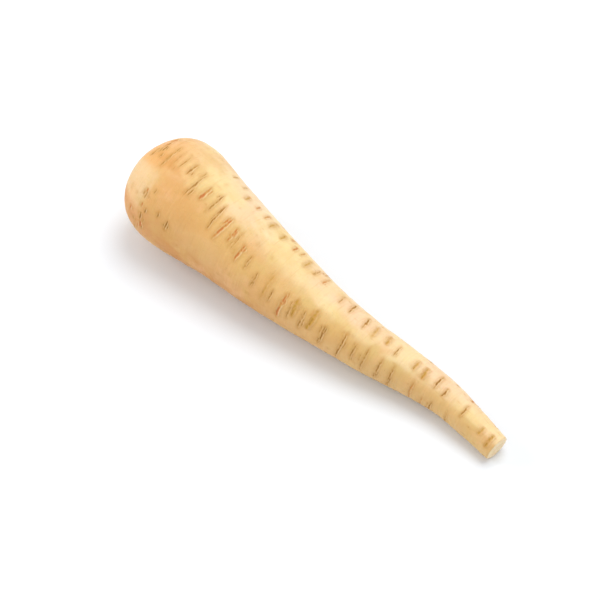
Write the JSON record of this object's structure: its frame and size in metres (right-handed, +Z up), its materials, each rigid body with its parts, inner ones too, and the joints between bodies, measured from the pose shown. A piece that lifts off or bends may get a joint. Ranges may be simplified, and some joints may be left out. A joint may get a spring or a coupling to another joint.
{
  "type": "parsnip",
  "caption": "Whole parsnip lying on its side: a tapering root with a rounded, hollow crown, trimmed leaf-stalk bases and a slender tail cut square.",
  "frame": {"origin": "bottom centre of the bounding box, on the surface the parsnip lies on", "axes": "+X from the crown towards the cut tip, +Z up, +Y sideways towards the side the tail bends to"},
  "size_m": [0.2304, 0.056, 0.0545],
  "materials": {
    "skin": "satin, cream to tan, with brown cross scars and a waxy sheen",
    "stalk": "matt, dried brown stalk fibre"
  },
  "bodies": {
    "root": {"taproot": "skin", "heart_stalk": "stalk", "inner_leaf_stalk_1": "stalk", "inner_leaf_stalk_2": "stalk", "inner_leaf_stalk_3": "stalk", "outer_leaf_stalk_1": "stalk", "outer_leaf_stalk_2": "stalk", "outer_leaf_stalk_3": "stalk", "outer_leaf_stalk_4": "stalk", "outer_leaf_stalk_5": "stalk"}
  },
  "joints": []
}
